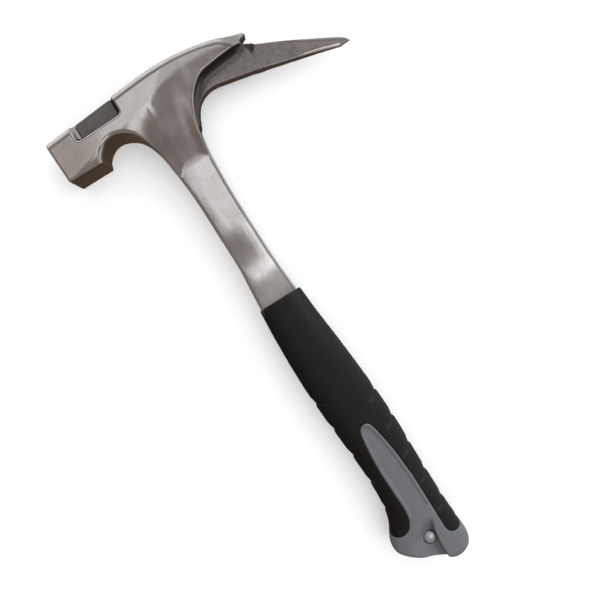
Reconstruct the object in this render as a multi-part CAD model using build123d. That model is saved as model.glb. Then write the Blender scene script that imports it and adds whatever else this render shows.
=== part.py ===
from build123d import *
import os

# An all-steel roofing hammer lying on its side.  Millimetres.
# The parts are drawn round the point where the handle's axis crosses the head: +X towards the spike,
# +Y towards the top of the head, Z across the thickness with the nail-holder pocket on the +Z side.
# At export the whole hammer is shifted so that it rests on Z = 0, centred under its bounding box.

# ---- driving dimensions -------------------------------------------------------------------------
HEAD_THICKNESS = 25.0        # block, plate and neck root, across the flats
FACE_X = -67.5               # top edge of the striking face
FACE_LEAN = 1.0              # how far the face's lower edge stands back
BLOCK_TOP_Y = 8.7            # top of the block at the face
BLOCK_BOTTOM_Y = -17.0       # underside of the block
EDGE_ROUND = 1.4             # rounding of the forging's long edges

LIP_TIP = (64.3, 6.1)        # end of the nail-puller lip
LIP_HALF_THICKNESS = 5.1     # at its end
LIP_TAPER_X = 47.0           # where the lip starts to thin
NOTCH_ROOT = (58.6, 1.4)     # root of the V notch between lip and spike
NECK_CORNER = (14.1, -21.7)  # where the plate's lower edge has turned down into the neck
WEB_HALF = 3.5               # half thickness of the web between the two scoops
SCOOP_END_X = 60.5           # where the scoops end and the spike reaches its full thickness
KNOB_CENTRE = (62.2, -2.4)   # rounded knob on the spike's back, across the notch from the lip
KNOB_RADIUS = 2.8
KNOB_HALF_THICKNESS = 5.0
GROUND_X = 86.0              # where the spike's ground point starts
TIP_X = 114.6                # point of the spike

SHANK_HALF_THICKNESS = 6.2
COLLAR_Y = -136.0            # where the steel enters the grip
SHANK_END_Y = -144.0         # shoulder of the tang, hidden in the grip
TANG_END_Y = -306.0
TANG_HALF_THICKNESS = 3.0

POCKET_LEFT_X = -49.3        # nail-holder pocket, open towards the top
POCKET_RIGHT_X = -21.2
POCKET_FLOOR_Y = 0.9         # lower edge of the pocket
POCKET_DEPTH = 5.0
MAGNET_THICKNESS = 1.6
MAGNET_MARGIN = 0.4          # glue gap round the magnet bar

RIVET_CENTRE = (2.6, -298.3)
RIVET_RADIUS = 3.7
RIVET_HEAD_Z = 8.2           # top of the domed rivet end
RIVET_DOME = 1.0             # height of the dome
BUTT_SCOOP_Z = 7.0           # floor of the scoop beside the rivet
BUTT_SCOOP_WALL_X = 7.6      # steep wall of the scoop
BUTT_SCOOP_RUN_X = -11.0     # where the scoop's sloping floor runs out
BUTT_SCOOP_TOP_Y = -288.0

NOTCH_PITCH = 18.45          # finger notches along the grip
NOTCH_COUNT = 5
FRONT_NOTCH_Y = -199.3       # highest notch on the striking side
REAR_NOTCH_Y = -209.7        # highest notch on the spike side
GRIP_NOTCH_DEPTH = 0.8
GRIP_NOTCH_RADIUS = 2.2

# Grip stations from collar to butt: (y, x towards the face, x towards the spike, half thickness)
GRIP_STATIONS = [
    (COLLAR_Y, -13.2, 14.3, 9.2),
    (-152.0, -14.2, 15.5, 10.6),
    (-172.0, -14.8, 17.7, 11.8),
    (-208.0, -13.8, 20.8, 12.2),
    (-236.0, -11.5, 21.9, 12.0),
    (-265.0, -10.7, 21.5, 11.9),
    (-282.0, -13.6, 21.7, 12.2),
    (-290.0, -18.2, 21.9, 12.35),
    (-298.0, -21.3, 22.6, 12.4),
    (-306.0, -22.0, 23.5, 12.4),
    (-320.0, -22.0, 24.0, 12.4),
]


def prism(outline, low, high):
    """Extrude a closed outline in the XY plane from z = low to z = high."""
    face = make_face(outline)
    return extrude(Plane.XY.offset(low) * face, high - low)


def both_sides(solid):
    """A solid and its mirror image in the mid-plane."""
    return solid + mirror(solid, Plane.XY)


# ---- head forging -------------------------------------------------------------------------------
def under_plate_edge():
    """Lower edge of the plate, from the notch root round into the neck."""
    points = [NOTCH_ROOT, (40.0, -0.5), (29.3, -2.6), (20.8, -9.4), NECK_CORNER]
    return Spline(points, tangents=[(-1, 0), (-0.33, -1)])


def plate_outline():
    """Side view of block, plate, neck and shank, down to the shoulder of the tang."""
    face_top = (FACE_X, BLOCK_TOP_Y)
    face_foot = (FACE_X + FACE_LEAN, BLOCK_BOTTOM_Y)
    block_heel = (-44.6, BLOCK_BOTTOM_Y)
    crown_start = (-5.0, 14.7)
    crown_end = (46.0, 10.6)
    lip_top = (61.0, 8.6)
    shank_left = (-10.5, -85.0)
    shank_right = (9.8, -85.0)
    flare_left = (-12.2, SHANK_END_Y)
    flare_right = (12.4, SHANK_END_Y)
    return [
        Line(face_foot, face_top),
        Line(face_top, crown_start),
        ThreePointArc(crown_start, (22.0, 14.8), crown_end),
        Spline([crown_end, (54.0, 9.1), lip_top]),
        Polyline(lip_top, LIP_TIP, NOTCH_ROOT),
        under_plate_edge(),
        Spline([NECK_CORNER, (11.2, -36.0), (9.9, -58.0), shank_right], tangents=[(-0.33, -1), (0, -1)]),
        Spline([shank_right, (10.4, -112.0), flare_right], tangents=[(0, -1), (0.1, -1)]),
        Line(flare_right, flare_left),
        Spline([flare_left, (-10.2, -108.0), shank_left], tangents=[(0.1, 1), (0, 1)]),
        Spline([shank_left, (-11.0, -60.0), (-13.6, -35.0), (-16.8, -21.4), (-20.4, -14.0), (-25.1, -9.8),
                (-31.0, -7.5), (-36.2, -7.9), (-40.3, -10.2), block_heel], tangents=[(0, 1), (-0.4, -1)]),
        Line(block_heel, face_foot),
    ]


def thickness_profile():
    """Edge view of the same pieces: full head thickness, thinning down the neck to the shank."""
    half_head = HEAD_THICKNESS / 2
    taper = [(-5.0, half_head), (-24.0, 9.4), (-46.0, SHANK_HALF_THICKNESS), (-112.0, SHANK_HALF_THICKNESS),
             (SHANK_END_Y, 6.8)]
    right = [Vector(0, y, z) for y, z in taper]
    left = [Vector(0, y, -z) for y, z in reversed(taper)]
    top_right = Vector(0, 30, half_head)
    top_left = Vector(0, 30, -half_head)
    level = Vector(0, -1, 0)
    return [
        Line(top_left, top_right),
        Line(top_right, right[0]),
        Spline(right, tangents=[level, level]),
        Line(right[-1], left[0]),
        Spline(left, tangents=[-level, -level]),
        Line(left[-1], top_left),
    ]


def plate():
    """Block, plate, neck and shank with rounded long edges."""
    half = HEAD_THICKNESS / 2
    body = prism(plate_outline(), -half, half)
    side = extrude(make_face(thickness_profile()), 130, dir=(1, 0, 0), both=True)
    blank = body & side
    long_edges = [edge for edge in blank.edges() if abs(edge.center().Z) > SHANK_HALF_THICKNESS / 2]
    return fillet(long_edges, EDGE_ROUND)


def spike_section(x, low, high, low_half, high_half):
    """Trapezoid across the spike, narrower along its underside."""
    corners = [(x, low, -low_half), (x, low, low_half), (x, high, high_half), (x, high, -high_half)]
    return make_face(Polyline(*corners, close=True))


def spike():
    """Tapered spike, slightly bowed along its back, with a knob at its root."""
    blade = loft([
        spike_section(50.0, -13.3, 4.3, WEB_HALF, 6.1),
        spike_section(GROUND_X, -22.1, -11.1, 2.5, 4.3),
        spike_section(TIP_X, -28.2, -26.3, 0.5, 0.8),
    ])
    return blade + Pos(*KNOB_CENTRE, 0) * Cylinder(KNOB_RADIUS, 2 * KNOB_HALF_THICKNESS)


def web():
    """Thin wall under the plate that joins neck and spike."""
    root = (13.6, -25.0)
    end = (52.0, -13.8)
    outline = [
        Spline([root, (16.6, -19.6), (20.4, -14.8), (25.2, -11.6), (30.2, -10.2), (35.2, -10.4), end],
               tangents=[(0.3, 1), (1, -0.22)]),
        Polyline(end, (52.0, 3.0), (8.0, 3.0), (8.0, -25.0), root),
    ]
    return prism(outline, -WEB_HALF, WEB_HALF)


def side_scoop():
    """Hollow beside the web, bounded by the plate's lower edge and by the spike's full thickness."""
    below_spike = (SCOOP_END_X + 2, -16.0)
    outline = [
        under_plate_edge(),
        Polyline(NECK_CORNER, (below_spike[0], NECK_CORNER[1]), below_spike),
        ThreePointArc(below_spike, (SCOOP_END_X - 1.5, -7.0), NOTCH_ROOT),
    ]
    return prism(outline, WEB_HALF, HEAD_THICKNESS)


def lip_taper():
    """Wedge that thins the lip towards its end."""
    half = HEAD_THICKNESS / 2
    thinned = half - LIP_HALF_THICKNESS
    run = LIP_TIP[0] - LIP_TAPER_X
    beyond = 1.2
    corners = [(LIP_TAPER_X, 0, half), (LIP_TAPER_X + beyond * run, 0, half - beyond * thinned),
               (LIP_TAPER_X + beyond * run, 0, half + 1), (LIP_TAPER_X, 0, half + 1)]
    return extrude(make_face(Polyline(*corners, close=True)), 20, dir=(0, 1, 0))


def nail_pocket():
    """Pocket for starting nails, milled into one side and open at the top."""
    width = POCKET_RIGHT_X - POCKET_LEFT_X
    height = 20.0
    centre = ((POCKET_LEFT_X + POCKET_RIGHT_X) / 2, POCKET_FLOOR_Y + height / 2)
    shape = Pos(*centre, HEAD_THICKNESS / 2 - POCKET_DEPTH) * extrude(Rectangle(width, height), 20)
    corners = shape.edges().filter_by(Axis.Z).sort_by(Axis.Y)[:2]
    return fillet(corners, 2.5)


def tang():
    """Tapered bar that carries the grip, drilled for the rivet."""
    outline = Polyline((-8.0, SHANK_END_Y), (8.0, SHANK_END_Y), (8.2, TANG_END_Y), (-3.0, TANG_END_Y),
                       close=True)
    bar = prism(outline, -TANG_HALF_THICKNESS, TANG_HALF_THICKNESS)
    return bar - Pos(*RIVET_CENTRE, 0) * Cylinder(RIVET_RADIUS, HEAD_THICKNESS)


def head_forging():
    body = plate() + spike() + web() - both_sides(side_scoop()) - both_sides(lip_taper())
    return body - nail_pocket() + tang()


def nail_magnet():
    """Flat bar on the pocket floor, flush with the top of the head."""
    half = HEAD_THICKNESS / 2
    floor = half - POCKET_DEPTH
    bar = nail_pocket() & Pos(0, 0, floor + MAGNET_THICKNESS / 2) * Box(300, 300, MAGNET_THICKNESS)
    trimmed = bar & Pos((POCKET_LEFT_X + POCKET_RIGHT_X) / 2, POCKET_FLOOR_Y + 10 + MAGNET_MARGIN, floor) * \
        Box(POCKET_RIGHT_X - POCKET_LEFT_X - 2 * MAGNET_MARGIN, 20, 20)
    return trimmed & prism(plate_outline(), -half, half)


# ---- grip ---------------------------------------------------------------------------------------
def grip_envelope():
    """Outer shape of sleeve and butt together."""
    sections = []
    for y, left, right, half in GRIP_STATIONS:
        centre = Plane(origin=((left + right) / 2, y, 0), x_dir=(1, 0, 0), z_dir=(0, -1, 0))
        sections.append(centre * RectangleRounded(right - left, 2 * half, 0.8 * half))
    return loft(sections) & prism(butt_outline(), -HEAD_THICKNESS, HEAD_THICKNESS)


def butt_outline():
    """Everything above the slanting end of the butt."""
    rear_corner = (23.0, -297.0)
    lobe_foot = (9.8, -314.8)
    front_corner = (-21.0, -291.0)
    return [
        Polyline((-40, -100), (40, -100), (40, -297.0), rear_corner),
        Spline([rear_corner, (23.4, -304.0), (19.8, -312.3), lobe_foot], tangents=[(0.3, -1), (-1, 0.1)]),
        Polyline(lobe_foot, (4.6, -312.3), (-8.4, -304.6), (-19.0, -295.6), front_corner, (-40, -291.0),
                 (-40, -100)),
    ]


def core_outline():
    """Where the grey core reaches the surface: side tongue above, whole butt below."""
    front_leg = (-8.6, -289.4)
    rear_leg = (17.4, -302.0)
    return [
        ThreePointArc((-0.6, -227.0), (3.5, -222.3), (8.4, -227.0)),
        Spline([(8.4, -227.0), (11.0, -242.0), (12.8, -262.0), (13.0, -290.0)], tangents=[(0.2, -1), (0, -1)]),
        Line((13.0, -290.0), (13.0, -295.7)),
        ThreePointArc((13.0, -295.7), rear_leg, (23.0, -296.0)),
        Polyline((23.0, -296.0), (40.0, -296.0), (40.0, -330.0), (-40.0, -330.0), (-40.0, -285.0),
                 (-16.0, -285.0)),
        Spline([(-16.0, -285.0), front_leg, (-2.4, -281.5), (-1.6, -275.0)], tangents=[(1, -0.9), (0, 1)]),
        Spline([(-1.6, -275.0), (-2.4, -253.0), (-0.6, -227.0)], tangents=[(0, 1), (0.2, 1)]),
    ]


def core_spine():
    """Rib of hard plastic round the tang, hidden under the sleeve."""
    return Pos(1.0, (SHANK_END_Y + TANG_END_Y) / 2, 0) * Box(20.0, SHANK_END_Y - TANG_END_Y, 12.0)


def butt_scoop():
    """Wedge-shaped scoop round the rivet, steep beside the rear lobe and open at the butt's end."""
    half = HEAD_THICKNESS / 2 + 0.5
    corners = [(BUTT_SCOOP_WALL_X, 0, BUTT_SCOOP_Z), (BUTT_SCOOP_WALL_X, 0, half), (BUTT_SCOOP_RUN_X, 0, half)]
    wedge = extrude(make_face(Polyline(*corners, close=True)), 60, dir=(0, -1, 0))
    return Pos(0, BUTT_SCOOP_TOP_Y, 0) * wedge


def grip_notches():
    """Grooves across the front and rear edges of the sleeve."""
    cutters = []
    for index in range(NOTCH_COUNT):
        front_y = FRONT_NOTCH_Y - index * NOTCH_PITCH
        rear_y = REAR_NOTCH_Y - index * NOTCH_PITCH
        front_x, rear_x = grip_edges(front_y)[0], grip_edges(rear_y)[1]
        reach = GRIP_NOTCH_RADIUS - GRIP_NOTCH_DEPTH
        cutters.append(Pos(front_x - reach, front_y, 0) * Cylinder(GRIP_NOTCH_RADIUS, 40))
        cutters.append(Pos(rear_x + reach, rear_y, 0) * Cylinder(GRIP_NOTCH_RADIUS, 40))
    return cutters


def grip_edges(y):
    """Front and rear x of the grip at height y, between its stations."""
    for upper, lower in zip(GRIP_STATIONS, GRIP_STATIONS[1:]):
        if lower[0] <= y <= upper[0]:
            share = (upper[0] - y) / (upper[0] - lower[0])
            return [upper[side] + share * (lower[side] - upper[side]) for side in (1, 2)]


def core_prism():
    return prism(core_outline(), -HEAD_THICKNESS, HEAD_THICKNESS)


def grip_core(envelope, head, rivet):
    shown = (envelope & core_prism()) - both_sides(butt_scoop())
    return shown + (core_spine() & envelope) - head - rivet


def grip_sleeve(envelope, head):
    sleeve = envelope - core_prism() - core_spine() - head
    for cutter in grip_notches():
        sleeve -= cutter
    return sleeve


def butt_rivet():
    """Pin through core and tang with a shallow dome at each end."""
    shaft = Cylinder(RIVET_RADIUS, 2 * (RIVET_HEAD_Z - RIVET_DOME))
    sphere_radius = (RIVET_RADIUS ** 2 + RIVET_DOME ** 2) / (2 * RIVET_DOME)
    ball = Pos(0, 0, RIVET_HEAD_Z - sphere_radius) * Sphere(sphere_radius)
    slab = Pos(0, 0, RIVET_HEAD_Z - RIVET_DOME / 2) * Cylinder(RIVET_RADIUS, RIVET_DOME)
    return Pos(*RIVET_CENTRE, 0) * (shaft + both_sides(ball & slab))


# ---- assembly and export ------------------------------------------------------------------------
head = head_forging()
rivet = butt_rivet()
envelope = grip_envelope()
pieces = {
    "head_forging": head,
    "nail_magnet": nail_magnet(),
    "grip_core": grip_core(envelope, head, rivet),
    "grip_sleeve": grip_sleeve(envelope, head),
    "butt_rivet": rivet,
}

box = head.bounding_box()
for solid in pieces.values():
    box = box.add(solid.bounding_box())
rest = Pos(-box.center().X, -box.center().Y, -box.min.Z)
os.makedirs("parts", exist_ok=True)
for name, solid in pieces.items():
    export_step(rest * solid, f"parts/{name}.step")
print("shift", -box.center().X, -box.center().Y, -box.min.Z, "size", box.size)
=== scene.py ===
import math

import bpy
import numpy as np
import openvdb
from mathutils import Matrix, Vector


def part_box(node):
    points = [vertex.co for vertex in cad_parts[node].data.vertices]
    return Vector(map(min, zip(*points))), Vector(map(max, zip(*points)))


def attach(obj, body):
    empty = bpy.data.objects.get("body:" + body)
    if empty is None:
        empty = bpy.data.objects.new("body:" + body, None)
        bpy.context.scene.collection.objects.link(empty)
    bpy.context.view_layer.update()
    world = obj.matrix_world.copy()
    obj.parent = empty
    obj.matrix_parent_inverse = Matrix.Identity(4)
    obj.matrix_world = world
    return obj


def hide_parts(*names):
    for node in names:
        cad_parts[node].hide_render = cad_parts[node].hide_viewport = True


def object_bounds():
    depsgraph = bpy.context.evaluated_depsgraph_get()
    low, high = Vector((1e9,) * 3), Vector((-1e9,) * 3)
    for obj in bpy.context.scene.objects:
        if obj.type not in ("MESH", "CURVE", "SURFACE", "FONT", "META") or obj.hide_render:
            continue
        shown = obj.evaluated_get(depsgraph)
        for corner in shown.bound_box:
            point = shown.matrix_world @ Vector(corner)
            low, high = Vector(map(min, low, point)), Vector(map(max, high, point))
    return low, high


# An all-steel roofing hammer on its side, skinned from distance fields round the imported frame.
# Shapes are worked out in millimetres round the point where the handle's axis crosses the head:
# +X towards the spike, +Y towards the top of the head, Z across the thickness from the middle plane.
# A field is negative inside its shape, and x, y and z are its grid's axes, or points in the paints.

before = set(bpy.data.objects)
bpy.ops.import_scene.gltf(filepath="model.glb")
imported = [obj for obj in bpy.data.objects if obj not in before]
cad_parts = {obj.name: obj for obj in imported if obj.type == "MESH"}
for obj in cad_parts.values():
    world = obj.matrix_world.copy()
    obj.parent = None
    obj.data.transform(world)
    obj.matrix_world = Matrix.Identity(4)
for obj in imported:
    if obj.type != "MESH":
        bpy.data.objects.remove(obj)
CAD_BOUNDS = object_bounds()

MM = 0.001
FACE_X = -67.5               # striking face, the head node's lowest x
FACE_LEAN = 0.04             # how far the face draws back per millimetre down
TANG_END_Y = -306.0          # hidden end of the tang, the head node's lowest y
HEAD_LOW, HEAD_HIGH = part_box("head_forging")
ORIGIN = Vector((HEAD_LOW[0] - FACE_X * MM, HEAD_LOW[1] - TANG_END_Y * MM, (HEAD_LOW[2] + HEAD_HIGH[2]) / 2))

HALF_HEAD = (HEAD_HIGH[2] - HEAD_LOW[2]) / MM / 2
COLLAR_Y = -136.0
NOTCH_ROOT = (58.6, 1.4)     # inner end of the nail puller's notch
LIP_TIP = (64.3, 6.1)
SHANK_HALF = 6.2             # half thickness of the shank
WEB_HALF = 3.5               # half thickness of the thin wall under the plate
POCKET_FLOOR = 7.5           # height of the nail-holder pocket's floor
SPIKE_ROOT_X = 50.0          # where the spike's taper starts
GROUND_X = 86.0              # where the spike's ground point starts
TIP_X = 114.6

HEAD_STEP = 0.525            # spacing of the sampled fields
GRIP_STEP = 0.55
SMALL_STEP = 0.2
CURVE_STEP = 0.5             # spacing of the points along a curve


# ---- fields and outlines -----------------------------------------------------------------------
def curve(points):
    """Catmull-Rom curve through the points, without its last point."""
    points = np.array(points, float)
    padded = np.vstack([2 * points[0] - points[1], points, 2 * points[-1] - points[-2]])
    stretches = []
    for before, start, end, after in zip(padded, padded[1:], padded[2:], padded[3:]):
        count = max(2, int(np.linalg.norm(end - start) / CURVE_STEP))
        t = np.linspace(0, 1, count, endpoint=False)[:, None]
        leave, arrive = (end - before) / 2, (after - start) / 2
        stretches.append((2 * t**3 - 3 * t**2 + 1) * start + (t**3 - 2 * t**2 + t) * leave
                         + (3 * t**2 - 2 * t**3) * end + (t**3 - t**2) * arrive)
    return np.vstack(stretches)


def closed(*stretches):
    """One closed outline from curves and single corners."""
    return np.vstack([np.atleast_2d(np.array(stretch, float)) for stretch in stretches])


def outline_distance(outline, x, y):
    """Signed distance to a closed outline, negative inside, at flat points."""
    nearest = np.full(np.broadcast(x, y).shape, 1e9, np.float32)
    inside = np.zeros(nearest.shape, bool)
    for (ax, ay), (bx, by) in zip(outline, np.roll(outline, -1, axis=0)):
        run, rise = bx - ax, by - ay
        along = np.clip(((x - ax) * run + (y - ay) * rise) / (run * run + rise * rise), 0, 1)
        np.minimum(nearest, (x - ax - along * run) ** 2 + (y - ay - along * rise) ** 2, out=nearest)
        if rise:
            crossing = ((ay > y) != (by > y)) & (x < run * (y - ay) / rise + ax)
            inside ^= crossing
    distance = np.sqrt(nearest)
    return np.where(inside, -distance, distance)


def prism(outline, x, y):
    """Field of a closed outline that runs through the whole thickness."""
    return outline_distance(outline, x[:, :, 0], y[:, :, 0])[:, :, None]


def step(value, low, high):
    """Smooth ramp from 0 at low to 1 at high."""
    t = np.clip((value - low) / (high - low), 0, 1)
    return t * t * (3 - 2 * t)


def soft_least(a, b, width):
    """Smaller of two values, blended where they come within the width."""
    share = np.clip(0.5 + 0.5 * (b - a) / width, 0, 1)
    return b + (a - b) * share - width * share * (1 - share)


def both(a, b, radius):
    """Intersection of two fields, its edge rounded."""
    corner = np.sqrt(np.maximum(a + radius, 0) ** 2 + np.maximum(b + radius, 0) ** 2)
    return corner - radius + np.minimum(np.maximum(a + radius, b + radius), 0)


def either(a, b, radius):
    """Union of two fields, its inner corner filled."""
    return -both(-a, -b, radius)


def without(a, b, radius):
    """The first field less the second, its edge rounded."""
    return both(a, -b, radius)


def skin(name, field, low, high, spacing, paints=None):
    """Mesh of the zero level of a field, its normals from the field's slope, its paints per vertex."""
    axes = [np.arange(lo - 2 * spacing, hi + 2 * spacing, spacing, dtype=np.float32)
            for lo, hi in zip(low, high)]
    x, y, z = axes[0][:, None, None], axes[1][None, :, None], axes[2][None, None, :]
    values = field(x, y, z).astype(np.float32)
    grid = openvdb.FloatGrid()
    grid.copyFromArray(values)
    points, quads = grid.convertToQuads(isovalue=0.0)
    start = np.array([axis[0] for axis in axes])
    mesh = bpy.data.meshes.new(name)
    drawn = start + points * spacing
    mesh.from_pydata((drawn * MM + np.array(ORIGIN)).tolist(), [], quads.tolist())
    mesh.polygons.foreach_set("use_smooth", [True] * len(quads))
    mesh.normals_split_custom_set_from_vertices(slopes(values, points))
    for paint_name, paint in (paints or {}).items():
        attribute = mesh.attributes.new(paint_name, "FLOAT", "POINT")
        attribute.data.foreach_set("value", paint(*drawn.T).astype(np.float32))
    piece = bpy.data.objects.new(name, mesh)
    bpy.context.collection.objects.link(piece)
    return piece


def slopes(values, points):
    """Unit slope of the sampled field at points given in grid steps."""
    base = np.clip(points.astype(int), 1, np.array(values.shape) - 3)
    share = (points - base).astype(np.float32)
    total = np.zeros((len(points), 3), np.float32)
    for corner in np.ndindex(2, 2, 2):
        i, j, k = (base + corner).T
        weight = np.prod(np.where(corner, share, 1 - share), axis=1)
        total[:, 0] += weight * (values[i + 1, j, k] - values[i - 1, j, k])
        total[:, 1] += weight * (values[i, j + 1, k] - values[i, j - 1, k])
        total[:, 2] += weight * (values[i, j, k + 1] - values[i, j, k - 1])
    return total / np.maximum(np.linalg.norm(total, axis=1, keepdims=True), 1e-9)


# ---- head forging --------------------------------------------------------------------------------
TOP_RISE = 0.0955            # slope of the head's top beside the face
CROWN_START = (-5.0, 14.7)   # where the straight top turns into the crown
CROWN_RADIUS = 147.0
LIP_THINNING = 7.4           # how much the plate's half thickness loses out to the lip
FOOT_Y = -40.3               # where the neck's slope meets the flat shank, on the centre line
FOOT_DROP = 12.0             # how far that line falls towards the shank's edges
BEVEL_DEPTH = 1.5            # reach of the top edge's bevel down the side
WEB_CENTRE_Y = -13.0         # height at which the web is thinnest
WEB_FLARE = 0.011            # how fast the web thickens above and below that height
ARCH_CENTRE = (-33.4, -20.2)
ARCH_RADIUS = 13.5


def head_top(x):
    """Height of the head's top edge: straight from the face, then one long arc."""
    lean = math.atan(TOP_RISE)
    centre_x = CROWN_START[0] + CROWN_RADIUS * math.sin(lean)
    centre_y = CROWN_START[1] - CROWN_RADIUS * math.cos(lean)
    straight = CROWN_START[1] + TOP_RISE * (x - CROWN_START[0])
    crown = centre_y + np.sqrt(np.maximum(CROWN_RADIUS**2 - (x - centre_x) ** 2, 0))
    lip = 0.012 * np.maximum(x - 46.0, 0) ** 2
    return np.where(x < CROWN_START[0], straight, crown + lip)


def plate_outline():
    """Block, plate, neck and shank below the top edge, running out past face and top."""
    return closed(
        (-80.0, -17.0), (-80.0, 30.0), (52.0, 30.0), (61.0, 8.8), (62.9, 7.8), LIP_TIP, (62.2, 5.4),
        curve([(60.0, 4.4), (58.9, 3.2), NOTCH_ROOT]),
        curve([NOTCH_ROOT, (50.0, 0.5), (40.0, -0.5), (29.3, -2.6), (20.8, -9.4), (14.1, -21.7),
               (11.2, -36.0), (9.9, -58.0), (9.8, -85.0), (10.4, -112.0), (11.6, -130.0), (12.4, -139.0)]),
        (12.4, -139.0), (12.4, -146.0), (-12.2, -146.0),
        curve([(-12.2, -139.0), (-11.3, -125.0), (-10.2, -108.0), (-10.5, -85.0), (-11.0, -60.0),
               (-13.6, -35.0), (-16.8, -21.4), (-20.4, -14.0), (-25.1, -9.8), (-31.0, -7.5),
               (-36.2, -7.9), (-40.3, -10.2), (-43.2, -13.4), (-44.6, -17.0)]),
        (-44.6, -17.0),
    )


def web_outline():
    """Thin wall under the plate, from the neck to the spike."""
    return closed(
        (8.0, -26.0),
        curve([(13.6, -25.0), (16.6, -19.6), (20.4, -14.8), (25.2, -11.6), (30.2, -10.2), (35.2, -10.4),
               (44.0, -12.1), (60.5, -15.5)]),
        (64.0, -16.3), (64.0, -1.0), (61.6, 0.7), (58.0, 1.5), (8.0, 4.0),
    )


def flat_edge(x):
    """Where the flat side of the head starts to fall towards the neck and the claw."""
    rise = 11.6 * step(x, -8.0, 22.0) - 3.0 * step(x, 36.0, 50.0)
    return 0.3 * np.minimum(x + 6.0, 0) - 4.2 + rise


def half_thickness(x, y):
    """Half thickness: flat head, sloping neck, flat shank, and a lip that thins to its tip."""
    head = HALF_HEAD - LIP_THINNING * step(x + 0.7 * (y - 6.0), 47.0, 65.0)
    foot = FOOT_Y - FOOT_DROP * (1 - np.exp(-((x / 12.5) ** 4)))
    climb = (y - foot) / (flat_edge(x) - foot)
    slope = SHANK_HALF + (HALF_HEAD - SHANK_HALF) * climb * (0.9 + 0.1 * climb)
    return soft_least(-soft_least(-SHANK_HALF, -slope, 0.12), head, 1.3)


def plate_field(x, y, z):
    """Block, plate, neck and shank with their rounded and bevelled edges."""
    side = np.abs(z) - half_thickness(x, y)
    from_arch = np.hypot(x - ARCH_CENTRE[0], y - ARCH_CENTRE[1]) - ARCH_RADIUS
    near_arch = np.exp(-((from_arch / 6) ** 2)) * step(y, -18.0, -8.0)
    rounding = 1.0 + 1.6 * near_arch - 0.6 * step(x, 44.0, 58.0)
    body = both(prism(plate_outline(), x, y), side, rounding)
    top = y - head_top(x)
    body = both(body, top, 0.5)
    bevel_height = 2.4 + 1.2 * step(x, 30.0, 60.0)
    bevel = top / bevel_height + side / BEVEL_DEPTH + 1
    bevel = bevel / np.sqrt(1 / bevel_height**2 + 1 / BEVEL_DEPTH**2)
    return both(body, bevel, 0.7)


def past_ground_line(x, y):
    """Distance towards the tip from the slanting line where the ground point starts."""
    return x + 0.35 * (y + 17.0) - GROUND_X


def spike_half(x, y, belly, height):
    """Half thickness of the spike: a long taper, then the steeper taper of the ground point."""
    up = (y - belly) / height
    share = (x - SPIKE_ROOT_X) / (TIP_X - SPIKE_ROOT_X)
    forged = 3.5 - 1.9 * share + (2.6 - 1.3 * share) * up
    ground_share = past_ground_line(x, y) / (TIP_X - GROUND_X)
    ground = 2.45 - 1.9 * ground_share + (1.85 - 1.5 * ground_share) * up
    return np.minimum(forged, ground)


def spike_field(x, y, z):
    """Tapered spike with a knob at its root, thin bevels along the ground point and a blunt tip."""
    back = -4.0 - 0.43 * (x - 70.0) - 0.0008 * (x - 70.0) ** 2
    out = x - SPIKE_ROOT_X
    belly = np.maximum(-13.3 - 0.222 * out - 0.0006 * out**2, -28.4)
    height = np.maximum(back - belly, 1.0)
    side = np.abs(z) - spike_half(x, y, belly, height)
    knob = np.hypot(x - 62.2, y + 2.4) - 2.8
    crest = either((y - back) * 0.92, knob, 0.8)
    end = 0.78 * (x - TIP_X) + 0.62 * (y + 26.3)
    flank = both(both(crest, (belly - y) * 0.97, 0.5), end, 1.3)
    body = both(flank, side, 0.3)
    ground = step(x, GROUND_X - 6.0, GROUND_X + 12.0)
    upper_bevel = corner_cut(crest, side, 0.5 + 1.1 * ground, 0.35 + 0.5 * ground)
    lower_bevel = corner_cut(belly - y, side, 0.3 + 1.7 * ground, 0.2 + 0.6 * ground)
    return both(both(body, upper_bevel, 0.2), lower_bevel, 0.2)


def corner_cut(a, b, reach_a, reach_b):
    """Flat bevel across the edge where two faces meet, by its reach along each field."""
    return (a / reach_a + b / reach_b + 1) / math.hypot(1, 1) * np.minimum(reach_a, reach_b)


def shoulder_ramp(x, z):
    """Surface that climbs from the web to the spike's side."""
    return (np.abs(z) - WEB_HALF - 0.55 * (x - 60.4)) * 0.88


def scoop_end(x, y, z):
    """Rounded end of the scoop, flaring outwards above the web."""
    above = np.abs(z) - WEB_HALF
    return np.maximum(np.hypot(x - 56.2, y - 0.3) - 6.6 - above, -above) * 0.75


def head_field(x, y, z):
    """Whole forging: plate, web and spike, less the nail pocket, cut flat by the striking face."""
    plate = plate_field(x, y, z)
    web_side = np.abs(z) - WEB_HALF - WEB_FLARE * (y - WEB_CENTRE_Y) ** 2
    web = both(prism(web_outline(), x, y), web_side, 0.4)
    spike = both(spike_field(x, y, z), shoulder_ramp(x, z), 0.5)
    spike = without(spike, scoop_end(x, y, z), 0.4)
    spike = np.maximum(spike, 58.0 - x)
    under = either(web, spike, 0.8)
    head = either(plate, under, 3.4 * step(-x, -58.5, -54.0))
    head = without(head, nail_pocket(x, y, z), 0.5)
    face = FACE_X + FACE_LEAN * (8.2 - y) - x
    return both(head, face, 0.7)


def nail_pocket(x, y, z):
    """Nail-holder pocket in the upper side, its walls sloping down to the floor."""
    depth = z - POCKET_FLOOR
    left = (-47.8 - x) * 0.8 - depth * 0.6
    right = (x + 21.9) * 0.97 - depth * 0.2
    bottom = 0.9 + 0.04 * (x + 35.0) - y
    walls = both(both(left, right, 1.0), bottom, 2.6)
    return both(walls, -depth, 2.4)


def make_head():
    low = (FACE_X, COLLAR_Y - 10.0, -HALF_HEAD)
    high = (TIP_X, 16.0, HALF_HEAD)
    # the recess paint marks where painted shade darkens the scoops' inner corners
    paints = {"forged": forged_paint, "recess_shade": recess_shade_paint, "satin": satin_paint}
    return skin("forged_head_and_shank", head_field, low, high, HEAD_STEP, paints)


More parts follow.
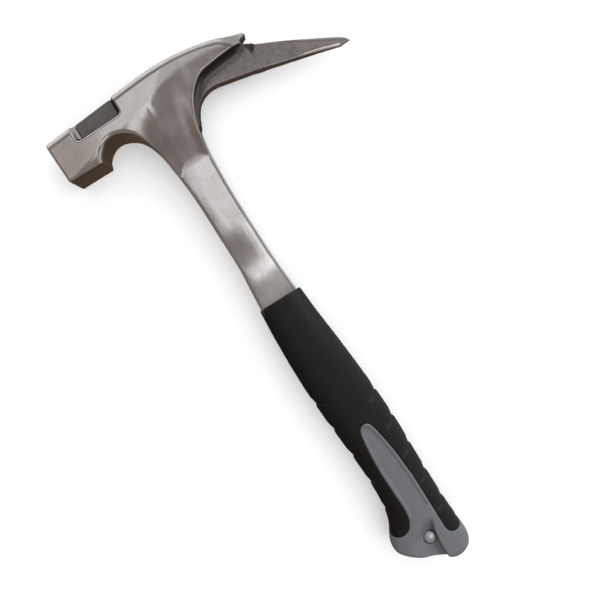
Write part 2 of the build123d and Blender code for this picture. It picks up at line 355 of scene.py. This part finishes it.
def forged_paint(x, y, z):
    """1 where the forging is left unpolished: the scoops, and the spike down to its ground point."""
    thin = 1 - step(np.abs(z), 6.0, 9.0)
    under_plate = step(x, 13.0, 17.0) * step(outline_distance(plate_outline(), x, y), -0.3, 0.6)
    polished_point = step(past_ground_line(x, y), -0.6, 0.6)
    return thin * np.maximum(under_plate, step(x, 61.0, 64.0)) * (1 - polished_point)


def recess_shade_paint(x, y, z):
    """1 in the inner corner of a scoop, under the plate and round the scoop's end, where the steel is
    darkened as painted shade.
    """
    below = outline_distance(plate_outline(), x, y)
    corner = step(below, -0.4, 0.4) * (1 - step(below, 1.5, 7.5)) * step(x, 11.0, 13.0)
    along_plate = corner * (1 - step(x, 58.0, 61.0))
    outside_scoop = step(np.hypot(x - 56.6, y + 4.6), 3.8, 5.2)
    near_knob = 1 - step(np.hypot(x - 62.0, y + 1.6), 2.8, 4.4)
    return np.maximum(along_plate, outside_scoop * near_knob) * (1 - step(np.abs(z), 9.5, 11.5))


def satin_paint(x, y, z):
    """1 on the sloping sides of neck and claw, which are polished less finely than the flats."""
    slope = 1 - step(np.abs(z), HALF_HEAD - 1.6, HALF_HEAD - 0.05)
    return slope * step(y, -45.0, -41.0)


# ---- grip ---------------------------------------------------------------------------------------
NOTCH_PITCH = 18.45
NOTCH_COUNT = 5
FRONT_NOTCH_Y = -199.3
REAR_NOTCH_Y = -209.7
GROOVE_DEPTH = 0.95
GROOVE_RUN_UP = 5.0          # a groove fades slowly upwards
GROOVE_RUN_DOWN = 1.5        # and ends short below
RIVET_CENTRE = (2.6, -298.3)
RIVET_RADIUS = 3.7
RIVET_TOP = 8.6
HOLE_CLEARANCE = 0.25        # gap round the rivet
SPINE_X = 1.0                # hidden spine of the core, inside the sleeve
SPINE_HALF_WIDTH = 10.0
SPINE_HALF_DEPTH = 6.0
SPINE_TOP_Y = -146.0
SPINE_GAP = 0.1              # gaps between the sleeve and the core
CORE_GAP = 0.08
GRIP_LOW = (-22.0, -316.0, -13.0)
GRIP_HIGH = (26.0, COLLAR_Y, 13.0)

# Stations down the grip: (y, x towards the face, x towards the spike, half thickness)
GRIP_STATIONS = np.array([
    (-130.0, -12.9, 14.0, 8.8), (-136.0, -13.2, 14.3, 9.2), (-152.0, -14.2, 15.5, 10.6),
    (-172.0, -14.8, 17.7, 11.8), (-190.0, -14.7, 19.4, 12.1), (-208.0, -13.8, 20.8, 12.2),
    (-222.0, -12.7, 21.6, 12.1), (-236.0, -11.5, 21.9, 12.0), (-251.0, -10.6, 21.6, 11.9),
    (-265.0, -10.7, 21.5, 11.9), (-274.0, -11.6, 21.6, 12.1), (-282.0, -13.6, 21.7, 12.2),
    (-290.0, -18.2, 21.9, 12.35), (-298.0, -21.5, 22.6, 12.4), (-306.0, -22.0, 23.9, 12.4),
    (-320.0, -22.0, 24.4, 12.4),
])


def station(y, column):
    """Grip dimension at height y, smoothed between the stations."""
    fine = np.arange(GRIP_STATIONS[-1, 0], GRIP_STATIONS[0, 0], 0.25)
    values = np.interp(fine, GRIP_STATIONS[::-1, 0], GRIP_STATIONS[::-1, column])
    kernel = np.hanning(49)
    padded = np.pad(values, 24, mode="edge")
    smooth = np.convolve(padded, kernel / kernel.sum(), mode="valid")
    return np.interp(y, fine, smooth)


def envelope_field(x, y, z):
    """Outer shape of sleeve and butt: an oval section that follows the stations."""
    left, right, half = (station(y, column) for column in (1, 2, 3))
    centre, half_width = (left + right) / 2, (right - left) / 2
    power = 2.7 + 1.3 * step(-y, 280.0, 306.0)
    across = np.abs(x - centre) / half_width
    through = np.abs(z) / half
    radial = (across**power + through**power) ** (1 / power)
    slope = np.sqrt((across ** (power - 1) / half_width) ** 2 + (through ** (power - 1) / half) ** 2)
    slope = slope / np.maximum(radial, 0.05) ** (power - 1)
    oval = (radial - 1) / np.maximum(slope, 1 / half_width)
    return both(oval, butt_end(x, y), 2.6)


def butt_end(x, y):
    """Slanting end of the butt, rounded towards the spike side."""
    outline = closed(
        (-40.0, -100.0), (40.0, -100.0), (40.0, -296.0),
        curve([(23.0, -297.0), (23.8, -303.6), (22.8, -308.6), (19.8, -312.4), (15.4, -314.5),
               (10.4, -314.8), (5.4, -312.6), (-1.6, -308.2), (-8.4, -304.6), (-14.2, -300.4),
               (-19.0, -295.6), (-21.0, -291.0)]),
        (-40.0, -291.0),
    )
    return prism(outline, x, y)


def core_outline():
    """Where the grey core reaches the surface: side tongue above, whole butt below."""
    return closed(
        curve([(-1.6, -275.0), (-2.4, -253.0), (-2.0, -240.0), (-0.7, -228.0), (0.9, -223.6), (3.8, -222.2),
               (6.8, -223.4), (8.5, -228.0), (11.0, -242.0), (12.6, -262.0), (13.0, -290.0), (13.1, -296.5),
               (14.4, -299.8), (17.2, -301.2), (20.2, -300.9), (22.6, -299.0), (26.0, -296.0)]),
        (40.0, -296.0), (40.0, -330.0), (-40.0, -330.0), (-40.0, -285.6),
        curve([(-17.6, -285.6), (-15.4, -287.5), (-12.2, -288.6), (-8.6, -288.5), (-5.2, -286.6),
               (-2.9, -283.0), (-1.9, -279.5)]),
    )


def finger_grooves(x, y):
    """Depth of the slanting grooves across the front and rear edges of the sleeve."""
    depth = 0 * x * y
    for index in range(NOTCH_COUNT):
        rear = y - (REAR_NOTCH_Y - index * NOTCH_PITCH) + 0.36 * np.maximum(21.0 - x, 0)
        front = y - (FRONT_NOTCH_Y - index * NOTCH_PITCH) + 0.3 * np.maximum(x + 12.0, 0)
        for along, reach in ((rear, step(x, 12.5, 16.5)), (front, step(-x, 5.5, 9.5))):
            cut = np.where(along > 0, 1 - along / GROOVE_RUN_UP, 1 + along / GROOVE_RUN_DOWN)
            depth = np.maximum(depth, GROOVE_DEPTH * np.clip(cut, 0, 1) * reach)
    return depth


def sleeve_field(x, y, z):
    """Black rubber: the envelope outside the core, hollow round the spine, with finger grooves."""
    oval = envelope_field(x, y, z)
    oval = oval + finger_grooves(x, y)
    sleeve = both(oval, y - COLLAR_Y, 0.9)
    sleeve = without(sleeve, prism(core_outline(), x, y) - CORE_GAP, 0.35)
    spine = np.maximum(np.abs(x - SPINE_X) - SPINE_HALF_WIDTH, np.abs(z) - SPINE_HALF_DEPTH)
    return np.maximum(sleeve, SPINE_GAP - spine)


def core_field(x, y, z):
    """Grey hard plastic: butt and side tongues with an inset panel, scoop and rivet hole."""
    oval = envelope_field(x, y, z)
    core = prism(core_outline(), x, y)
    inset = 0.8 * step(-core, 1.6, 2.2) * step(y, -280.6, -279.8)
    shown = both(oval + inset, core, 0.5)
    spine = both(np.abs(x - SPINE_X) - SPINE_HALF_WIDTH, np.abs(z) - SPINE_HALF_DEPTH, 1.0)
    spine = np.maximum(np.maximum(spine, y - SPINE_TOP_Y), oval)
    body = np.minimum(shown, spine)
    body = without(body, butt_scoop(x, y, z), 0.9)
    hole = np.hypot(x - RIVET_CENTRE[0], y - RIVET_CENTRE[1]) - RIVET_RADIUS - HOLE_CLEARANCE
    return without(body, hole, 0.35)


def butt_scoop(x, y, z):
    """Scoop round the rivet: steep on the spike side, running out towards the front and the end."""
    wall = x - 6.0 - 0.011 * np.maximum(y + 304.0, 0) ** 2
    floor = 7.0 + 5.9 * step(-x, -6.0, 13.0) + 6.0 * step(y, -297.0, -284.5)
    return both(wall * 0.98, (floor - np.abs(z)) * 0.9, 0.9)


def make_sleeve():
    return skin("rubber_sleeve", sleeve_field, GRIP_LOW, GRIP_HIGH, GRIP_STEP)


def make_core():
    return skin("plastic_core", core_field, GRIP_LOW, GRIP_HIGH, GRIP_STEP)


def make_rivet():
    """Pin with a shallow dome at each end."""
    def field(x, y, z):
        around = np.hypot(x - RIVET_CENTRE[0], y - RIVET_CENTRE[1])
        dome = np.abs(z) - RIVET_TOP + 0.05 * around**2
        return both(around - RIVET_RADIUS, dome, 0.5)
    margin = RIVET_RADIUS + 0.3
    low = (RIVET_CENTRE[0] - margin, RIVET_CENTRE[1] - margin, -RIVET_TOP)
    high = (RIVET_CENTRE[0] + margin, RIVET_CENTRE[1] + margin, RIVET_TOP)
    return skin("domed_rivet", field, low, high, SMALL_STEP)


def make_magnet():
    """Magnet bar with softened edges on the pocket's floor."""
    left, right, bottom = -47.4, -22.6, 1.5
    half_height = 0.8
    middle = POCKET_FLOOR + half_height

    def field(x, y, z):
        across = both(left - x, x - right, 0.6)
        tall = both(bottom - y, y - head_top(x) + 0.2, 0.6)
        return both(both(across, tall, 0.8), np.abs(z - middle) - half_height, 0.25)

    low = (left, bottom - SMALL_STEP, POCKET_FLOOR)
    high = (right, head_top(right) + SMALL_STEP, middle + half_height)
    return skin("magnet_bar", field, low, high, SMALL_STEP)


# ---- materials -------------------------------------------------------------------------------------
class Material:
    """A Principled material and short calls that add nodes to it."""

    def __init__(self, name, **sockets):
        self.material = bpy.data.materials.new(name)
        self.material.use_nodes = True
        self.tree = self.material.node_tree
        self.shader = self.tree.nodes["Principled BSDF"]
        for socket, value in sockets.items():
            self.shader.inputs[socket.replace("_", " ")].default_value = value
        self.place = self.add("ShaderNodeTexCoord").outputs["Object"]

    def add(self, kind, **values):
        node = self.tree.nodes.new(kind)
        for key, value in values.items():
            if hasattr(node, key):
                setattr(node, key, value)
            else:
                node.inputs[key.replace("_", " ")].default_value = value
        return node

    def link(self, source, target):
        self.tree.links.new(source, target)

    def stretched(self, scale):
        mapping = self.add("ShaderNodeMapping", Scale=scale)
        self.link(self.place, mapping.inputs["Vector"])
        return mapping.outputs["Vector"]

    def noise(self, scale, stretch=(1, 1, 1), detail=4.0, roughness=0.55):
        node = self.add("ShaderNodeTexNoise", Scale=scale, Detail=detail, Roughness=roughness)
        self.link(self.stretched(stretch), node.inputs["Vector"])
        return node.outputs["Fac"]

    def ramp(self, factor, low, high, low_value, high_value):
        node = self.add("ShaderNodeMapRange")
        for end, source, target in (("Min", low, low_value), ("Max", high, high_value)):
            node.inputs["From " + end].default_value = source
            node.inputs["To " + end].default_value = target
        self.link(factor, node.inputs["Value"])
        return node.outputs["Result"]

    def blend(self, factor, first, second):
        node = self.add("ShaderNodeMix", data_type="RGBA")
        self.link(factor, node.inputs["Factor"])
        for index, colour in ((6, first), (7, second)):
            if hasattr(colour, "links"):
                self.link(colour, node.inputs[index])
            else:
                node.inputs[index].default_value = colour
        return node.outputs[2]

    def painted(self, name):
        return self.add("ShaderNodeAttribute", attribute_name=name).outputs["Fac"]

    def product(self, first, second):
        node = self.add("ShaderNodeMath", operation="MULTIPLY")
        self.link(first, node.inputs[0])
        self.link(second, node.inputs[1])
        return node.outputs[0]

    def mean(self, factor, first, second):
        node = self.add("ShaderNodeMix")
        for socket, value in ((0, factor), (2, first), (3, second)):
            self.link(value, node.inputs[socket])
        return node.outputs[0]

    def bump(self, height, distance, under=None):
        node = self.add("ShaderNodeBump", Distance=distance)
        self.link(height, node.inputs["Height"])
        if under is not None:
            self.link(under, node.inputs["Normal"])
        return node.outputs["Normal"]


def grey(value, warmth=0.0):
    """A grey in linear RGBA, tinted towards red by a positive warmth and towards blue by a negative one."""
    return (value * (1 + warmth), value, value * (1 - warmth), 1.0)


def steel_material():
    """Polished forging: lengthwise grinding marks, cloudy tone, satin slopes, scoops and spike as forged,
    and painted shade darkening the scoops' inner corners.
    """
    steel = Material("polished_steel", Metallic=1.0)
    clouds = steel.noise(60.0, detail=3.0)
    grain = steel.noise(900.0, stretch=(1.0, 0.04, 1.0), detail=3.0)
    scale = steel.noise(420.0, detail=6.0, roughness=0.7)
    waves = steel.noise(38.0, detail=1.0)
    forged = steel.painted("forged")
    recess_shade = steel.painted("recess_shade")
    satin = steel.painted("satin")
    polished_tone = steel.blend(steel.ramp(clouds, 0.3, 0.7, 0, 1), grey(0.54, 0.02), grey(0.68, 0.004))
    forged_tone = steel.blend(steel.ramp(scale, 0.3, 0.7, 0, 1), grey(0.32, 0.03), grey(0.48, 0.02))
    satin_tone = steel.blend(steel.ramp(clouds, 0.3, 0.7, 0, 1), grey(0.38, 0.05), grey(0.52, 0.04))
    machined_tone = steel.blend(satin, polished_tone, satin_tone)
    tone = steel.blend(forged, machined_tone, forged_tone)
    # painted shade: the scoops' inner corners, under the plate and round the knob, turned dark brown
    tone = steel.blend(recess_shade, tone, grey(0.10, 0.12))
    steel.link(tone, steel.shader.inputs["Base Color"])
    polished_rough = steel.ramp(grain, 0.3, 0.7, 0.05, 0.10)
    forged_rough = steel.ramp(scale, 0.3, 0.7, 0.24, 0.4)
    satin_rough = steel.ramp(grain, 0.3, 0.7, 0.17, 0.22)
    machined_rough = steel.mean(satin, polished_rough, satin_rough)
    steel.link(steel.mean(forged, machined_rough, forged_rough), steel.shader.inputs["Roughness"])
    bumps = steel.bump(waves, 0.0001)
    bumps = steel.bump(grain, 0.000004, under=bumps)
    bumps = steel.bump(steel.product(scale, forged), 0.00004, under=bumps)
    steel.link(bumps, steel.shader.inputs["Normal"])
    return steel.material


def rubber_material():
    rubber = Material("black_rubber", Specular_IOR_Level=0.3)
    mottle = rubber.noise(220.0)
    pores = rubber.noise(2600.0, detail=2.0)
    tone = rubber.blend(mottle, grey(0.003, 0.2), grey(0.006, 0.1))
    rubber.link(tone, rubber.shader.inputs["Base Color"])
    rubber.link(rubber.ramp(mottle, 0.3, 0.7, 0.46, 0.58), rubber.shader.inputs["Roughness"])
    rubber.link(rubber.bump(pores, 0.00005), rubber.shader.inputs["Normal"])
    return rubber.material


def plastic_material():
    plastic = Material("grey_plastic", Roughness=0.45)
    mottle = plastic.noise(160.0)
    grain = plastic.noise(3200.0, detail=2.0)
    tone = plastic.blend(mottle, (0.098, 0.104, 0.113, 1), (0.124, 0.130, 0.140, 1))
    plastic.link(tone, plastic.shader.inputs["Base Color"])
    plastic.link(plastic.ramp(mottle, 0.3, 0.7, 0.42, 0.52), plastic.shader.inputs["Roughness"])
    plastic.link(plastic.bump(grain, 0.00004), plastic.shader.inputs["Normal"])
    return plastic.material


def magnet_material():
    magnet = Material("magnet", Roughness=0.6, Metallic=0.3)
    mottle = magnet.noise(500.0)
    tone = magnet.blend(mottle, grey(0.085, 0.07), grey(0.13, 0.05))
    magnet.link(tone, magnet.shader.inputs["Base Color"])
    magnet.link(magnet.bump(mottle, 0.00006), magnet.shader.inputs["Normal"])
    return magnet.material


def rivet_material():
    rivet = Material("rivet_steel", Metallic=1.0, Roughness=0.32)
    mottle = rivet.noise(700.0)
    tone = rivet.blend(mottle, grey(0.68, -0.03), grey(0.78, -0.03))
    rivet.link(tone, rivet.shader.inputs["Base Color"])
    rivet.link(rivet.bump(mottle, 0.00003), rivet.shader.inputs["Normal"])
    return rivet.material


# ---- scene ----------------------------------------------------------------------------------------
DOME_STRENGTH = 1.05
KEY_RADIANCE = 9.0
ROLL = math.radians(31.6)    # how far the handle slants across the image
CAMERA_PLACE = (9.35, -138.7, 382.5)
FOCAL_RATIO = 1.1017         # focal length over the image's width
FLOOR_HALF_SIDE = 40.0       # metres
PANEL_HEIGHT = 3000.0        # millimetres


def placed(x, y, z):
    """A point of the drawing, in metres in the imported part's frame."""
    return ORIGIN + Vector((x, y, z)) * MM


def make_camera():
    """Camera straight above the hammer, turned so that the handle runs down to the right."""
    data = bpy.data.cameras.new("camera")
    data.lens = data.sensor_width * FOCAL_RATIO
    data.clip_start = 0.01
    camera = bpy.data.objects.new("camera", data)
    camera.location = placed(*CAMERA_PLACE)
    camera.rotation_euler = (0, 0, -ROLL)
    bpy.context.collection.objects.link(camera)
    bpy.context.scene.camera = camera


def make_floor():
    """Large sheet of pale paper just under the hammer; the steel doesn't mirror it."""
    mesh = bpy.data.meshes.new("floor")
    corners = [(across * FLOOR_HALF_SIDE, along * FLOOR_HALF_SIDE, 0.0)
               for across, along in ((-1, -1), (1, -1), (1, 1), (-1, 1))]
    mesh.from_pydata(corners, [], [(0, 1, 2, 3)])
    floor = bpy.data.objects.new("floor", mesh)
    floor.location.z = CAD_BOUNDS[0][2] - 0.0002
    bpy.context.collection.objects.link(floor)
    paper = Material("floor_paper", Roughness=0.9)
    tone = paper.blend(paper.noise(40.0), grey(0.86), grey(0.89))
    paper.link(tone, paper.shader.inputs["Base Color"])
    mesh.materials.append(paper.material)
    floor.visible_glossy = False
    return floor


def softbox(name, centre, size, radiance, colour=(0.97, 0.99, 1.0)):
    """Level light panel that shines down from the panel height, placed and sized in millimetres."""
    data = bpy.data.lights.new(name, "AREA")
    data.shape = "RECTANGLE"
    data.size, data.size_y = size[0] * MM, size[1] * MM
    data.energy = radiance * math.pi * data.size * data.size_y
    data.color = colour
    light = bpy.data.objects.new(name, data)
    light.location = placed(*centre, PANEL_HEIGHT)
    light.visible_camera = False
    bpy.context.collection.objects.link(light)


def make_lights():
    """High panels whose reflections light the head and the shank, with dark gaps between them."""
    softbox("head_panel", (-170.0, 1036.0), (520.0, 588.0), 0.55)
    softbox("claw_panel", (255.0, 1036.0), (330.0, 588.0), 0.34)
    softbox("block_panel", (-605.0, 1130.0), (350.0, 400.0), 0.26, colour=(1.0, 0.93, 0.87))
    softbox("shank_panel", (-37.0, 523.0), (214.0, 437.0), 0.74)
    softbox("shank_strip", (18.0, 210.0), (104.0, 190.0), 1.15)
    softbox("collar_strip", (-30.0, 68.0), (200.0, 92.0), 1.2)
    softbox("collar_panel", (-44.0, -46.0), (228.0, 136.0), 0.22)
    softbox("point_panel", (1000.0, 230.0), (500.0, 500.0), 0.28)
    softbox("butt_panel", (450.0, -1350.0), (1400.0, 1100.0), 1.1)


def light_only(light, lit_objects):
    """Let a light reach only the given objects."""
    receivers = bpy.data.collections.new(light.name + "_receivers")
    for lit_object in lit_objects:
        receivers.objects.link(lit_object)
    light.light_linking.receiver_collection = receivers


def make_floor_fill(floor):
    """Shadowless light from above on the floor alone, so that the paper stays white."""
    data = bpy.data.lights.new("floor_fill", "SUN")
    data.energy = 0.8
    data.use_shadow = False
    light = bpy.data.objects.new("floor_fill", data)
    bpy.context.collection.objects.link(light)
    light_only(light, [floor])


def make_key_light(lit_objects):
    """Cool softbox above the spike side that lights only the given objects, to show the grip's ribs."""
    data = bpy.data.lights.new("key", "AREA")
    data.size = 0.5
    data.energy = KEY_RADIANCE * math.pi * data.size**2
    data.color = (0.93, 0.97, 1.0)
    light = bpy.data.objects.new("key", data)
    light.location = placed(900.0, 500.0, 900.0)
    aim = placed(10.0, -260.0, 0.0) - light.location
    light.rotation_euler = aim.to_track_quat("-Z", "Y").to_euler()
    light.visible_camera = False
    bpy.context.collection.objects.link(light)
    light_only(light, lit_objects)


def make_world():
    """Dome brighter on the spike side for matt surfaces; steel mirrors a dim warm room."""
    world = bpy.data.worlds.new("studio")
    world.use_nodes = True
    bpy.context.scene.world = world
    tree = world.node_tree
    background = tree.nodes["Background"]

    def ramp(factor, low, high):
        node = tree.nodes.new("ShaderNodeMapRange")
        node.interpolation_type = "SMOOTHSTEP"
        node.inputs["From Min"].default_value = low
        node.inputs["From Max"].default_value = high
        tree.links.new(factor, node.inputs["Value"])
        return node.outputs["Result"]

    def mix(factor, first, second):
        node = tree.nodes.new("ShaderNodeMix")
        node.data_type = "RGBA"
        tree.links.new(factor, node.inputs["Factor"])
        for index, colour in ((6, first), (7, second)):
            if hasattr(colour, "links"):
                tree.links.new(colour, node.inputs[index])
            else:
                node.inputs[index].default_value = colour
        return node.outputs[2]

    direction = tree.nodes.new("ShaderNodeSeparateXYZ")
    tree.links.new(tree.nodes.new("ShaderNodeTexCoord").outputs["Generated"], direction.inputs["Vector"])
    below, above = (0.092, 0.062, 0.042, 1), (0.25, 0.215, 0.20, 1)
    room = mix(ramp(direction.outputs["Z"], -0.1, 0.5), below, above)
    room = mix(ramp(direction.outputs["Y"], 0.55, 0.8), room, (0.55, 0.53, 0.51, 1))
    room = mix(ramp(direction.outputs["Y"], 0.82, 0.9), room, (1.05, 1.05, 1.05, 1))
    room = mix(ramp(direction.outputs["X"], 0.4, 0.85), room, (0.70, 0.71, 0.73, 1))
    dome = mix(ramp(direction.outputs["X"], -1.0, 1.0), (0.52, 0.48, 0.46, 1), (1.48, 1.52, 1.54, 1))
    is_glossy = tree.nodes.new("ShaderNodeLightPath").outputs["Is Glossy Ray"]
    tree.links.new(mix(is_glossy, dome, room), background.inputs["Color"])
    background.inputs["Strength"].default_value = DOME_STRENGTH


def finish_piece(piece, material, node):
    """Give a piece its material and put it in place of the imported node."""
    piece.data.materials.append(material)
    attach(piece, "root")
    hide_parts(node)
    return piece


def main():
    bpy.context.scene.view_settings.view_transform = "Standard"
    make_camera()
    floor = make_floor()
    make_world()
    make_lights()
    make_floor_fill(floor)
    finish_piece(make_head(), steel_material(), "head_forging")
    finish_piece(make_magnet(), magnet_material(), "nail_magnet")
    core = finish_piece(make_core(), plastic_material(), "grip_core")
    sleeve = finish_piece(make_sleeve(), rubber_material(), "grip_sleeve")
    finish_piece(make_rivet(), rivet_material(), "butt_rivet")
    make_key_light([core, sleeve])


main()
